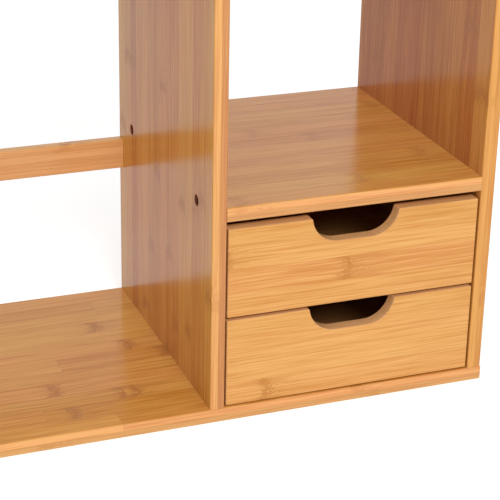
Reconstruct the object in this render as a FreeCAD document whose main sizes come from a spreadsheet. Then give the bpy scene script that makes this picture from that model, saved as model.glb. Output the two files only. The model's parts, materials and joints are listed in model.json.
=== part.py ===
import FreeCAD, Part
import math
import os
import re
import Sketcher

# A free-standing desk organizer in laminated bamboo board. A base and a top board carry three
# uprights: two side panels and a divider. The wide bay on the left is open and is tied at the back
# by a rail. The narrow column on the right has a shelf, with two equal drawers under it.
# Millimetres, +Z up, +X to the right, -Y to the front. The origin is under the middle of the base.

SIZES = [
    # Carcass
    ("overall_width", 600, "base and top board, left to right"),
    ("overall_depth", 250, "every carcass board, front to back"),
    ("overall_height", 400, "underside of the base to the top of the top board"),
    ("board", 12, "thickness of each carcass board"),
    ("end_overhang", 1, "base and top board past each side panel"),
    ("edge_round", 1.2, "radius of the eased edges"),
    ("column_width", 220, "clear width between the divider and the right panel"),
    ("bay_height", 162, "clear height from the base to the shelf"),
    ("rail_height", 27, "back rail, bottom to top"),
    ("rail_thickness", 10, "back rail, front to back"),
    ("rail_bottom", 134.5, "underside of the back rail above the desk"),
    # Back board and runners of the drawer bay
    ("bay_back_thickness", 5, "thin board behind the drawers"),
    ("bay_back_inset", 10, "back board's rear face in from the rear edge"),
    ("bay_back_groove", 4, "depth of the grooves that hold the back board"),
    ("runner_height", 10, "runner strip, bottom to top"),
    ("runner_width", 10, "runner strip, out from the wall"),
    ("runner_gap", 2.2, "runner strip above the lower drawer's box"),
    ("runner_setback", 2.3, "runner strip behind the drawer front"),
    # Drawers
    ("front_thickness", 12, "drawer front"),
    ("front_recess", 0.7, "drawer front behind the carcass edge"),
    ("front_gap_side", 1.6, "drawer front to the wall at each side"),
    ("front_gap_below", 1.2, "lower drawer front above the base"),
    ("front_gap_between", 2.8, "between the two drawer fronts"),
    ("front_gap_above", 6.6, "upper drawer front below the shelf"),
    ("notch_corner", 23, "corner radius of the finger notch"),
    ("notch_flat", 29, "straight length of the notch's bottom edge"),
    ("notch_depth", 21, "notch below the front's top edge"),
    ("box_wall", 8, "drawer sides and back"),
    ("box_gap_side", 2, "drawer side to the wall"),
    ("box_gap_rear", 1, "drawer back to the back board"),
    ("slide_clearance", 0.3, "drawer side above what it slides on"),
    ("bottom_thickness", 3, "drawer bottom"),
    ("bottom_raise", 6, "drawer bottom above the lower edge of the sides"),
    ("bottom_groove", 4, "depth of the grooves round the drawer bottom"),
    ("panel_slack", 0.3, "thin panel's edge short of the groove's floor"),
    # Bolts through the carcass boards
    ("bolt_inset", 38, "bolt line in from the front and rear edges"),
    ("bolt_head", 8.6, "bolt head diameter"),
    ("bolt_head_height", 3, "bolt head"),
    ("bolt_head_bore", 9, "counterbore over the bolt head"),
    ("bolt_bore_depth", 6, "counterbore, from the face"),
    ("bolt_shank", 4.9, "bolt shank diameter"),
    ("bolt_hole", 5, "hole for the bolt shank"),
    ("bolt_length", 36, "bolt under its head"),
    ("bolt_socket", 4.6, "across the corners of the hexagon socket"),
    # Screws that hold the back rail
    ("rail_screw_head", 6.6, "rail screw head diameter"),
    ("rail_screw_bore", 7, "counterbore over the rail screw head"),
    ("rail_screw_shank", 3.4, "rail screw shank diameter"),
    ("rail_screw_hole", 3.5, "hole for the rail screw shank"),
    ("rail_screw_length", 32, "rail screw under its head"),
    ("rail_fixing_inset", 7, "rail screw and dowel in from the rail's edges"),
    # Small screws, in the runners and the drawer backs
    ("screw_head", 5.8, "small screw head diameter"),
    ("screw_head_height", 2, "small screw and rail screw head"),
    ("screw_head_bore", 6.2, "counterbore over the small screw head"),
    ("screw_bore_depth", 2.5, "counterbore of both screws, from the face"),
    ("screw_shank", 2.9, "small screw shank diameter"),
    ("screw_hole", 3, "hole for the small screw shank"),
    ("screw_length", 16, "small screw under its head"),
    ("screw_socket", 2.6, "across the corners of the screw's socket"),
    ("runner_screw_inset", 30, "runner screw in from each end of the runner"),
    ("point_length", 3, "pointed end of every bolt and screw"),
    # Dowels
    ("dowel_inset", 90, "dowel line in from the front and rear edges"),
    ("dowel", 5.9, "large dowel diameter"),
    ("dowel_hole", 6, "hole for the large dowel"),
    ("dowel_face_depth", 9, "large dowel hole in the face of a board"),
    ("dowel_end_depth", 20, "large dowel hole in the end of a board"),
    ("small_dowel", 4.9, "small dowel diameter"),
    ("small_dowel_hole", 5, "hole for the small dowel"),
    ("small_face_depth", 7, "small dowel hole in the face of a board"),
    ("small_end_depth", 10, "small dowel hole in the end of a board"),
    ("box_fixing_low", 18, "lower dowel or screw above the drawer side's edge"),
    ("box_fixing_high", 14, "upper dowel or screw below the drawer side's edge"),
    ("hole_slack", 0.5, "dowel or screw point short of the hole's end"),
]

# Places and sizes that follow from the ones in the sheet, as formulas in the same names.
DERIVED = {
    "front_edge": "-overall_depth/2",
    "side_face": "overall_width/2 - end_overhang",
    "upright_height": "overall_height - 2*board",
    "column_right": "side_face - board",
    "column_left": "column_right - column_width",
    "divider_left": "column_left - board",
    "shelf_bottom": "board + bay_height",
    "bay_width": "divider_left + side_face - board",
    "rail_front": "overall_depth/2 - rail_thickness",
    "back_front": "overall_depth/2 - bay_back_inset - bay_back_thickness",
    "front_width": "column_width - 2*front_gap_side",
    "front_height": "(bay_height - front_gap_below - front_gap_between - front_gap_above)/2",
    "lower_front_bottom": "board + front_gap_below",
    "upper_front_bottom": "lower_front_bottom + front_height + front_gap_between",
    "box_drop": "front_gap_below - slide_clearance",
    "box_front": "front_edge + front_recess + front_thickness",
    "box_length": "back_front - box_gap_rear - box_front",
    "box_height": "front_height + front_gap_between - runner_height - slide_clearance - runner_gap",
    "box_width": "column_width - 2*box_gap_side",
    "bottom_in_front": "bottom_raise - box_drop",
    "back_width": "box_width - 2*box_wall",
    "runner_bottom": "upper_front_bottom - box_drop - slide_clearance - runner_height",
    "runner_front": "box_front + runner_setback",
    "runner_length": "back_front - runner_front",
    "bolt_end_depth": "bolt_length + bolt_bore_depth - board + hole_slack",
    "rail_screw_depth": "rail_screw_length + screw_bore_depth - board + hole_slack",
    "runner_screw_depth": "screw_length + screw_bore_depth - runner_width + hole_slack",
    "box_screw_depth": "screw_length + screw_bore_depth - box_wall + hole_slack",
    "dowel_length": "dowel_face_depth + dowel_end_depth - 2*hole_slack",
    "small_dowel_length": "small_face_depth + small_end_depth - 2*hole_slack",
    "notch_centre": "front_height + notch_corner - notch_depth",
}

# The left face of each upright, and the two drawers' fronts from below.
UPRIGHTS = {"left_side_panel": "-side_face", "divider_panel": "divider_left",
            "right_side_panel": "column_right"}
DRAWERS = {"lower_drawer": "lower_front_bottom", "upper_drawer": "upper_front_bottom"}
BOLT_LINE = ["bolt_inset", "overall_depth - bolt_inset"]
DOWEL_LINE = ["dowel_inset", "overall_depth - dowel_inset"]

# Each face of a board: the origin plane it is parallel to, the size that is its distance along
# the plane's normal (0 = width, 1 = depth, 2 = height) with its sign, and whether a cut into the
# board from there runs along that normal.
FACES = {
    "bottom": ("XY_Plane", None, True),
    "top": ("XY_Plane", (2, ""), False),
    "left": ("YZ_Plane", None, True),
    "right": ("YZ_Plane", (0, ""), False),
    "front": ("XZ_Plane", None, False),
    "back": ("XZ_Plane", (1, "-"), True),
}

# Turns that point a screw's head, modelled facing up, the other ways.
HEAD_UP = FreeCAD.Rotation()
HEAD_DOWN = FreeCAD.Rotation(FreeCAD.Vector(1, 0, 0), 180)
HEAD_LEFT = FreeCAD.Rotation(FreeCAD.Vector(0, 1, 0), -90)
HEAD_RIGHT = FreeCAD.Rotation(FreeCAD.Vector(0, 1, 0), 90)

doc = FreeCAD.newDocument("desk_organizer")
nodes = []
cuts = []


def expand(formula):
    """Write a formula in terms of the sheet's cells, so that an object's size can be bound to it."""
    def swap(match):
        word = match.group(0)
        if word in DERIVED:
            return "(" + expand(DERIVED[word]) + ")"
        return "Sizes." + word
    return re.sub(r"[a-z_]+", swap, formula)


def bind(item, name, formula):
    item.setExpression(name, expand(formula))


def place(item, at):
    """Bind an object's position to three formulas."""
    for letter, formula in zip("xyz", at):
        bind(item, "Placement.Base." + letter, formula)


def make_sheet():
    sheet = doc.addObject("Spreadsheet::Sheet", "Sizes")
    for row, (alias, value, meaning) in enumerate(SIZES, start=1):
        sheet.set("A%d" % row, alias)
        sheet.set("B%d" % row, str(value))
        sheet.setAlias("B%d" % row, alias)
        sheet.set("C%d" % row, meaning)
    doc.recompute()
    return sheet


def worth(formula):
    """A formula's value now, which is where a sketch's lines are first drawn."""
    return float(sizes.evalExpression(expand(formula)))


# Sketches, drawn from their plane's origin, with every size bound to a formula

def sketch_on(body, role, offset=None):
    plane = [item for item in body.Origin.OriginFeatures if item.Role == role][0]
    sketch = body.newObject("Sketcher::SketchObject", "sketch")
    sketch.AttachmentSupport = [(plane, "")]
    sketch.MapMode = "FlatFace"
    if offset:
        bind(sketch, "AttachmentOffset.Base.z", offset)
    return sketch


def dimension(sketch, name, formula, kind, *where):
    index = sketch.addConstraint(Sketcher.Constraint(kind, *where, worth(formula)))
    sketch.renameConstraint(index, name)
    bind(sketch, "Constraints." + name, formula)


def draw_rectangle(sketch, width, height, corner=("0", "0")):
    """A rectangle with its lower left corner at the sketch's origin, or at a corner given."""
    left, low = [worth(formula) for formula in corner]
    right = left + worth(width)
    high = low + worth(height)
    points = [FreeCAD.Vector(x, y) for x, y in
              ((left, low), (right, low), (right, high), (left, high))]
    for start, end in zip(points, points[1:] + points[:1]):
        sketch.addGeometry(Part.LineSegment(start, end))
    for side in range(4):
        sketch.addConstraint(Sketcher.Constraint("Coincident", side, 2, (side + 1) % 4, 1))
        level = "Vertical" if side % 2 else "Horizontal"
        sketch.addConstraint(Sketcher.Constraint(level, side))
    dimension(sketch, "corner_x", corner[0], "DistanceX", -1, 1, 0, 1)
    dimension(sketch, "corner_y", corner[1], "DistanceY", -1, 1, 0, 1)
    dimension(sketch, "width", width, "DistanceX", 0, 1, 0, 2)
    dimension(sketch, "height", height, "DistanceY", 1, 1, 1, 2)


def draw_circles(sketch, diameter, centres):
    for index, (across, up) in enumerate(centres):
        centre = FreeCAD.Vector(worth(across), worth(up))
        sketch.addGeometry(Part.Circle(centre, FreeCAD.Vector(0, 0, 1), worth(diameter) / 2))
        dimension(sketch, "across_%d" % index, across, "DistanceX", -1, 1, index, 3)
        dimension(sketch, "up_%d" % index, up, "DistanceY", -1, 1, index, 3)
        dimension(sketch, "diameter_%d" % index, diameter, "Diameter", index)


def draw_slot(sketch, flat, corner, centre):
    """A slot lying along the sketch's width: two half circles and the two straight edges."""
    radius = FreeCAD.Vector(0, worth(corner))
    middle = FreeCAD.Vector(worth(centre[0]), worth(centre[1]))
    left = middle - FreeCAD.Vector(worth(flat) / 2, 0)
    right = middle + FreeCAD.Vector(worth(flat) / 2, 0)
    axis = FreeCAD.Vector(0, 0, 1)
    quarter = math.pi / 2
    round_left = Part.Circle(left, axis, radius.Length)
    round_right = Part.Circle(right, axis, radius.Length)
    sketch.addGeometry(Part.ArcOfCircle(round_left, quarter, 3 * quarter))
    sketch.addGeometry(Part.LineSegment(left - radius, right - radius))
    sketch.addGeometry(Part.ArcOfCircle(round_right, -quarter, quarter))
    sketch.addGeometry(Part.LineSegment(right + radius, left + radius))
    for first, second in ((0, 1), (1, 2), (2, 3), (3, 0)):
        sketch.addConstraint(Sketcher.Constraint("Tangent", first, 2, second, 1))
    sketch.addConstraint(Sketcher.Constraint("Horizontal", 1))
    sketch.addConstraint(Sketcher.Constraint("Equal", 0, 2))
    dimension(sketch, "corner", corner, "Radius", 0)
    dimension(sketch, "flat", flat, "DistanceX", 0, 3, 2, 3)
    dimension(sketch, "across", centre[0] + " - (" + flat + ")/2", "DistanceX", -1, 1, 0, 3)
    dimension(sketch, "up", centre[1], "DistanceY", -1, 1, 0, 3)


# Boards: a padded rectangle with eased edges, then holes, grooves and notches cut into its faces

def edges_along(shape, axes):
    """Names of a plain board's edges that run along the given axes."""
    names = []
    for index, edge in enumerate(shape.Edges, start=1):
        run = edge.Vertexes[1].Point - edge.Vertexes[0].Point
        longest = max("XYZ", key=lambda letter: abs(getattr(run, letter.lower())))
        if longest in axes:
            names.append("Edge%d" % index)
    return names


def make_board(label, at, size, eased=""):
    """A board with its lower left front corner at a place, and the edges along some axes eased."""
    body = doc.addObject("PartDesign::Body", label)
    body.Label = label
    place(body, at)
    body.addProperty("App::PropertyStringList", "BoardSize")
    body.BoardSize = list(size)
    outline = sketch_on(body, "XY_Plane")
    draw_rectangle(outline, size[0], size[1])
    pad = body.newObject("PartDesign::Pad", "pad")
    pad.Profile = outline
    bind(pad, "Length", size[2])
    doc.recompute()
    if eased:
        fillet = body.newObject("PartDesign::Fillet", "eased_edges")
        fillet.Base = (pad, edges_along(pad.Shape, eased))
        bind(fillet, "Radius", "edge_round")
    nodes.append(body)
    return body


def face_sketch(board, face):
    role, distance, _ = FACES[face]
    offset = None
    if distance:
        offset = distance[1] + "(" + board.BoardSize[distance[0]] + ")"
    return sketch_on(board, role, offset)


def cut_in(board, face, sketch, depth):
    pocket = board.newObject("PartDesign::Pocket", "pocket")
    pocket.Profile = sketch
    pocket.Reversed = FACES[face][2]
    bind(pocket, "Length", depth)
    cuts.append(pocket)


def drill(board, face, diameter, depth, centres):
    """Round holes in one face, at places measured from the board's own corner."""
    sketch = face_sketch(board, face)
    draw_circles(sketch, diameter, centres)
    cut_in(board, face, sketch, depth)


def cut_groove(board, face, corner, width, height, depth):
    sketch = face_sketch(board, face)
    draw_rectangle(sketch, width, height, corner)
    cut_in(board, face, sketch, depth)


# Fasteners: one screw or dowel is modelled, and a group repeats it at its places

def make_cylinder(diameter, height, base):
    cylinder = doc.addObject("Part::Cylinder", "cylinder")
    bind(cylinder, "Radius", "(" + diameter + ")/2")
    bind(cylinder, "Height", height)
    bind(cylinder, "Placement.Base.z", base)
    return cylinder


def make_screw(name, head, head_height, shank, length, socket):
    """A screw standing point down, with the underside of its head at the origin."""
    straight = make_cylinder(shank, length + " - point_length", "point_length - (" + length + ")")
    point = doc.addObject("Part::Cone", "point")
    point.Radius1 = 0
    bind(point, "Radius2", "(" + shank + ")/2")
    bind(point, "Height", "point_length")
    bind(point, "Placement.Base.z", "-(" + length + ")")
    solid = doc.addObject("Part::MultiFuse", "screw_solid")
    solid.Shapes = [make_cylinder(head, head_height, "0"), straight, point]
    hexagon = doc.addObject("Part::Prism", "hexagon")
    hexagon.Polygon = 6
    bind(hexagon, "Circumradius", "(" + socket + ")/2")
    bind(hexagon, "Height", head_height)
    bind(hexagon, "Placement.Base.z", "(" + head_height + ")/3")
    screw = doc.addObject("Part::Cut", name)
    screw.Base = solid
    screw.Tool = hexagon
    return screw


def make_group(label, single, places):
    """Copies of one fastener, each at three formulas and a turn, as one node of separate solids."""
    copies = []
    for x, y, z, turn in places:
        copy = doc.addObject("App::Link", "copy")
        copy.LinkedObject = single
        copy.LinkTransform = False
        copy.Placement = FreeCAD.Placement(FreeCAD.Vector(), turn)
        place(copy, (x, y, z))
        copies.append(copy)
    group = doc.addObject("Part::Compound", label)
    group.Label = label
    group.Links = copies
    nodes.append(group)


# Carcass

def upright_centre(left_face):
    """The middle of an upright's thickness, measured from the left end of the base or top board."""
    return left_face + " + board/2 + overall_width/2"


def make_base_and_top():
    spots = [upright_centre(left_face) for left_face in UPRIGHTS.values()]
    bolts = [(spot, line) for spot in spots for line in BOLT_LINE]
    dowels = [(spot, line) for spot in spots for line in DOWEL_LINE]
    levels = {"base_board": ("0", "bottom", "top"),
              "top_board": ("overall_height - board", "top", "bottom")}
    for label, (level, outside, inside) in levels.items():
        board = make_board(label, ("-overall_width/2", "front_edge", level),
                           ("overall_width", "overall_depth", "board"), "XYZ")
        drill(board, outside, "bolt_hole", "board", bolts)
        drill(board, outside, "bolt_head_bore", "bolt_bore_depth", bolts)
        drill(board, inside, "dowel_hole", "dowel_face_depth", dowels)


def make_uprights():
    boards = {}
    for label, left_face in UPRIGHTS.items():
        board = make_board(label, (left_face, "front_edge", "board"),
                           ("board", "overall_depth", "upright_height"), "Z")
        for end in ("bottom", "top"):
            drill(board, end, "bolt_hole", "bolt_end_depth", [("board/2", y) for y in BOLT_LINE])
            drill(board, end, "dowel_hole", "dowel_end_depth", [("board/2", y) for y in DOWEL_LINE])
        boards[label] = board
    drill_for_shelf(boards["divider_panel"], "left", "right")
    drill_for_shelf(boards["right_side_panel"], "right", "left")
    drill_for_rail(boards["left_side_panel"], "left", "right")
    drill_for_rail(boards["divider_panel"], "right", "left")


def drill_for_shelf(board, outside, inside):
    """Bolts, dowels, the back board's groove and the runner's screws, in a wall of the column."""
    middle = "shelf_bottom - board/2"
    bolts = [(line, middle) for line in BOLT_LINE]
    drill(board, outside, "bolt_hole", "board", bolts)
    drill(board, outside, "bolt_head_bore", "bolt_bore_depth", bolts)
    drill(board, inside, "dowel_hole", "dowel_face_depth", [(line, middle) for line in DOWEL_LINE])
    cut_groove(board, inside, ("back_front - front_edge", "0"), "bay_back_thickness",
               "bay_height", "bay_back_groove")
    level = "runner_bottom + runner_height/2 - board"
    drill(board, inside, "screw_hole", "runner_screw_depth",
          [(line + " - front_edge", level) for line in runner_screw_line()])


def drill_for_rail(board, outside, inside):
    across = "rail_front + rail_thickness/2 - front_edge"
    low = "rail_bottom + rail_fixing_inset - board"
    high = "rail_bottom + rail_height - rail_fixing_inset - board"
    drill(board, outside, "rail_screw_hole", "board", [(across, low)])
    drill(board, outside, "rail_screw_bore", "screw_bore_depth", [(across, low)])
    drill(board, inside, "small_dowel_hole", "small_face_depth", [(across, high)])


def make_shelf():
    board = make_board("drawer_shelf", ("column_left", "front_edge", "shelf_bottom"),
                       ("column_width", "overall_depth", "board"), "X")
    for end in ("left", "right"):
        drill(board, end, "bolt_hole", "bolt_end_depth", [(y, "board/2") for y in BOLT_LINE])
        drill(board, end, "dowel_hole", "dowel_end_depth", [(y, "board/2") for y in DOWEL_LINE])


def make_rail():
    board = make_board("back_rail", ("board - side_face", "rail_front", "rail_bottom"),
                       ("bay_width", "rail_thickness", "rail_height"), "X")
    middle = "rail_thickness/2"
    for end in ("left", "right"):
        drill(board, end, "rail_screw_hole", "rail_screw_depth", [(middle, "rail_fixing_inset")])
        drill(board, end, "small_dowel_hole", "small_end_depth",
              [(middle, "rail_height - rail_fixing_inset")])


def make_bay_back():
    grip = "bay_back_groove - panel_slack"
    make_board("drawer_bay_back", ("column_left - (" + grip + ")", "back_front", "board"),
               ("column_width + 2*(" + grip + ")", "bay_back_thickness", "bay_height"))


def runner_screw_line():
    return ["runner_front + runner_screw_inset", "back_front - runner_screw_inset"]


def make_runners():
    sides = {"upper_runner_left": ("column_left", "right"),
             "upper_runner_right": ("column_right - runner_width", "left")}
    for label, (left_face, inside) in sides.items():
        strip = make_board(label, (left_face, "runner_front", "runner_bottom"),
                           ("runner_width", "runner_length", "runner_height"))
        spots = [(y + " - runner_front", "runner_height/2") for y in runner_screw_line()]
        drill(strip, inside, "screw_hole", "runner_width", spots)
        drill(strip, inside, "screw_head_bore", "screw_bore_depth", spots)


# Drawers: a front with a finger notch, two sides, a back, and a thin bottom held in grooves

def make_drawer_front(name, bottom):
    front = make_board(name + "_front",
                       ("column_left + front_gap_side", "front_edge + front_recess", bottom),
                       ("front_width", "front_thickness", "front_height"), "XYZ")
    notch = face_sketch(front, "front")
    draw_slot(notch, "notch_flat", "notch_corner", ("front_width/2", "notch_centre"))
    cut_in(front, "front", notch, "front_thickness")
    margin = "box_gap_side - front_gap_side + box_wall"
    cut_groove(front, "back", (margin + " - bottom_groove", "bottom_in_front"),
               "back_width + 2*bottom_groove", "bottom_thickness", "bottom_groove")
    middle = "box_gap_side - front_gap_side + box_wall/2"
    heights = ["box_fixing_low - box_drop", "box_height - box_fixing_high - box_drop"]
    drill(front, "back", "small_dowel_hole", "small_face_depth",
          [(x, z) for x in (middle, "front_width - (" + middle + ")") for z in heights])


def make_drawer_box(name, bottom):
    left = "column_left + box_gap_side"
    right = "column_right - box_gap_side - box_wall"
    low = bottom + " - box_drop"
    heights = ["box_fixing_low", "box_height - box_fixing_high"]
    walls = {"_left_side": (left, "left", "right"), "_right_side": (right, "right", "left")}
    for suffix, (left_face, outside, inside) in walls.items():
        side = make_board(name + suffix, (left_face, "box_front", low),
                          ("box_wall", "box_length", "box_height"))
        cut_groove(side, inside, ("0", "bottom_raise"), "box_length", "bottom_thickness",
                   "bottom_groove")
        drill(side, "front", "small_dowel_hole", "small_end_depth",
              [("box_wall/2", z) for z in heights])
        screws = [("box_length - box_wall/2", z) for z in heights]
        drill(side, outside, "screw_hole", "box_wall", screws)
        drill(side, outside, "screw_head_bore", "screw_bore_depth", screws)
    back = make_board(name + "_back", (left + " + box_wall", "box_front + box_length - box_wall", low),
                      ("back_width", "box_wall", "box_height"))
    cut_groove(back, "front", ("0", "bottom_raise"), "back_width", "bottom_thickness",
               "bottom_groove")
    for end in ("left", "right"):
        drill(back, end, "screw_hole", "box_screw_depth", [("box_wall/2", z) for z in heights])


def make_drawer_bottom(name, bottom):
    grip = "bottom_groove - panel_slack"
    corner = ("column_left + box_gap_side + box_wall - (" + grip + ")",
              "box_front - (" + grip + ")",
              bottom + " - box_drop + bottom_raise")
    make_board(name + "_bottom", corner,
               ("back_width + 2*(" + grip + ")",
                "box_length - box_wall + 2*(" + grip + ")", "bottom_thickness"))


def make_drawer_fixings(name, bottom, dowel, screw):
    heights = [bottom + " - box_drop + box_fixing_low",
               bottom + " - box_drop + box_height - box_fixing_high"]
    left = "column_left + box_gap_side"
    right = "column_right - box_gap_side"
    turn = FreeCAD.Rotation(FreeCAD.Vector(1, 0, 0), -90)
    start = "box_front - small_face_depth + hole_slack"
    make_group(name + "_dowels", dowel,
               [(x, start, z, turn) for x in (left + " + box_wall/2", right + " - box_wall/2")
                for z in heights])
    rear = "box_front + box_length - box_wall/2"
    make_group(name + "_screws", screw,
               [(left + " + screw_bore_depth", rear, z, HEAD_LEFT) for z in heights]
               + [(right + " - screw_bore_depth", rear, z, HEAD_RIGHT) for z in heights])


def make_carcass_fixings(bolt, rail_screw, screw, dowel, small_dowel):
    middles = [left_face + " + board/2" for left_face in UPRIGHTS.values()]
    bolts = [(x, "front_edge + " + y) for x in middles for y in BOLT_LINE]
    dowels = [(x, "front_edge + " + y) for x in middles for y in DOWEL_LINE]
    make_group("base_bolts", bolt, [(x, y, "bolt_bore_depth", HEAD_DOWN) for x, y in bolts])
    make_group("top_bolts", bolt,
               [(x, y, "overall_height - bolt_bore_depth", HEAD_UP) for x, y in bolts])
    make_group("base_dowels", dowel,
               [(x, y, "board - dowel_face_depth + hole_slack", HEAD_UP) for x, y in dowels])
    make_group("top_dowels", dowel,
               [(x, y, "overall_height - board + dowel_face_depth - hole_slack", HEAD_DOWN)
                for x, y in dowels])

    level = "shelf_bottom + board/2"
    make_group("shelf_bolts", bolt,
               [("divider_left + bolt_bore_depth", "front_edge + " + y, level, HEAD_LEFT)
                for y in BOLT_LINE]
               + [("side_face - bolt_bore_depth", "front_edge + " + y, level, HEAD_RIGHT)
                  for y in BOLT_LINE])
    make_group("shelf_dowels", dowel,
               [("column_left - dowel_face_depth + hole_slack", "front_edge + " + y, level,
                 HEAD_RIGHT) for y in DOWEL_LINE]
               + [("column_right + dowel_face_depth - hole_slack", "front_edge + " + y, level,
                   HEAD_LEFT) for y in DOWEL_LINE])

    across = "rail_front + rail_thickness/2"
    low = "rail_bottom + rail_fixing_inset"
    high = "rail_bottom + rail_height - rail_fixing_inset"
    make_group("rail_screws", rail_screw,
               [("screw_bore_depth - side_face", across, low, HEAD_LEFT),
                ("column_left - screw_bore_depth", across, low, HEAD_RIGHT)])
    make_group("rail_dowels", small_dowel,
               [("board - side_face - small_face_depth + hole_slack", across, high, HEAD_RIGHT),
                ("divider_left + small_face_depth - hole_slack", across, high, HEAD_LEFT)])

    level = "runner_bottom + runner_height/2"
    recess = "runner_width - screw_bore_depth"
    make_group("runner_screws", screw,
               [("column_left + " + recess, y, level, HEAD_RIGHT) for y in runner_screw_line()]
               + [("column_right - (" + recess + ")", y, level, HEAD_LEFT)
                  for y in runner_screw_line()])


def check_model():
    """Stop if any object failed, any cut missed its board, or any sub-part isn't a sound shape."""
    for item in doc.Objects:
        if "Invalid" in item.State or "Error" in item.State:
            raise RuntimeError(item.Name + " failed: " + str(item.State))
    for pocket in cuts:
        if pocket.Shape.Volume > pocket.BaseFeature.Shape.Volume - 1:
            raise RuntimeError(pocket.Name + " cuts nothing")
    for node in nodes:
        if node.Shape.isNull() or not node.Shape.isValid() or not node.Shape.Solids:
            raise RuntimeError(node.Label + " is not a valid shape")


sizes = make_sheet()
make_base_and_top()
make_uprights()
make_shelf()
make_rail()
make_bay_back()
make_runners()

carcass_bolt = make_screw("carcass_bolt", "bolt_head", "bolt_head_height", "bolt_shank",
                          "bolt_length", "bolt_socket")
rail_screw = make_screw("rail_screw", "rail_screw_head", "screw_head_height", "rail_screw_shank",
                        "rail_screw_length", "screw_socket")
small_screw = make_screw("small_screw", "screw_head", "screw_head_height", "screw_shank",
                         "screw_length", "screw_socket")
large_dowel = make_cylinder("dowel", "dowel_length", "0")
small_dowel = make_cylinder("small_dowel", "small_dowel_length", "0")

make_carcass_fixings(carcass_bolt, rail_screw, small_screw, large_dowel, small_dowel)
for drawer, front_bottom in DRAWERS.items():
    make_drawer_front(drawer, front_bottom)
    make_drawer_box(drawer, front_bottom)
    make_drawer_bottom(drawer, front_bottom)
    make_drawer_fixings(drawer, front_bottom, small_dowel, small_screw)

doc.recompute()
check_model()

os.makedirs("parts", exist_ok=True)
for node in nodes:
    node.Shape.exportStep(os.path.join("parts", node.Label + ".step"))
    print("%-26s %2d solids %10.0f mm3" % (node.Label, len(node.Shape.Solids), node.Shape.Volume))
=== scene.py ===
# %% [markdown]
# # A bamboo desk organizer
# The real thing is a small desktop shelf glued up from laminated bamboo boards and closed with a
# clear lacquer. It has an open bay at the left and two drawers under a shelf at the right.
# This notebook takes the measured model as a fixed frame and builds the finished pieces round it.
# All lengths are metres, +Z is up and the drawers slide out towards -Y.

# %% Load the frame
import json
import math

import bmesh
import bpy
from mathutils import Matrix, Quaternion, Vector


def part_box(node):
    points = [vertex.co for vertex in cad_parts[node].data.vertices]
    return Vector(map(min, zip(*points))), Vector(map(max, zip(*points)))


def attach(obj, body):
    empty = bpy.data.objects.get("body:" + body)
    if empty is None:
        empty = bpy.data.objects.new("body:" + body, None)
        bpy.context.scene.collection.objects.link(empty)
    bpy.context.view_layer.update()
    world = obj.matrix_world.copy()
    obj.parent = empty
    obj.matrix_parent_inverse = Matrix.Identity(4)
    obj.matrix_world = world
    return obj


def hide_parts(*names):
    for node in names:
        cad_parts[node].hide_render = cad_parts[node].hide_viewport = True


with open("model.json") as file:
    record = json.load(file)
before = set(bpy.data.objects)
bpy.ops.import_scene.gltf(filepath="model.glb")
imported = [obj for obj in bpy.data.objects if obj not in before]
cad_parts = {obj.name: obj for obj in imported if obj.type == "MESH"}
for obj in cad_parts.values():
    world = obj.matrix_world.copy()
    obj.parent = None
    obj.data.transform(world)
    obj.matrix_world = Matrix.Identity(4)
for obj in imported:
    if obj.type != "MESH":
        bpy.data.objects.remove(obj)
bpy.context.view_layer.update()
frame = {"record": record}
MM = 0.001

# %% [markdown]
# ## The camera
# The unit is seen from the front left and a little above, from about a metre and a half away,
# through a long lens that keeps the uprights nearly parallel. The camera is aimed by an azimuth,
# a fall below the horizon and a small roll, which are easier to read than a rotation matrix.

# %% Camera
CAMERA_PLACE = Vector((-0.3477, -1.2486, 0.6715))
CAMERA_AZIMUTH = math.radians(21.12)
CAMERA_FALL = math.radians(23.46)
CAMERA_ROLL = math.radians(1.23)
LENS = 121.2
FILM_WIDTH = 36
NEAREST = 50 * MM


def add_object(name, data):
    made = bpy.data.objects.new(name, data)
    bpy.context.scene.collection.objects.link(made)
    return made


def make_camera():
    data = bpy.data.cameras.new("camera")
    data.sensor_width = FILM_WIDTH
    data.lens = LENS
    data.clip_start = NEAREST
    camera = add_object("camera", data)
    look = Vector((math.sin(CAMERA_AZIMUTH) * math.cos(CAMERA_FALL),
                   math.cos(CAMERA_AZIMUTH) * math.cos(CAMERA_FALL),
                   -math.sin(CAMERA_FALL)))
    camera.rotation_mode = "QUATERNION"
    camera.rotation_quaternion = Quaternion(look, -CAMERA_ROLL) @ look.to_track_quat("-Z", "Y")
    camera.location = CAMERA_PLACE
    bpy.context.scene.camera = camera
    return camera


print("camera at", tuple(make_camera().location))

# %% [markdown]
# ## Light and floor
# Lacquered wood is read through what it mirrors. A white room all round gives the pale sheen on
# faces seen at a low angle, and one lamp above the front lifts the drawer fronts. The room and
# the floor are brighter to the eye than as a light, so that the bays keep their depth.

# %% Light and floor
WHITE = (1, 1, 1, 1)
ROOM_LIGHT = 0.52
FLOOR_GLOW = 0.68
FLOOR_LIGHT = 0.48
FLOOR_TONE = 0.55
FLOOR_ROUGHNESS = 0.9
FLOOR_WIDTH = 14
FLOOR_DROP = 0.5 * MM
LAMP = dict(place=(-0.15, -2.35, 1.8), aim=(0.1, 0, 0.2), size=1.0, power=48)


def glow_by_ray(tree, ray, for_ray, for_others, strength):
    """Give a strength one value for one kind of ray and another value for all the others."""
    path = tree.nodes.new("ShaderNodeLightPath")
    choice = tree.nodes.new("ShaderNodeMapRange")
    choice.inputs["To Min"].default_value = for_others
    choice.inputs["To Max"].default_value = for_ray
    tree.links.new(path.outputs[ray], choice.inputs["Value"])
    tree.links.new(choice.outputs["Result"], strength)


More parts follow.
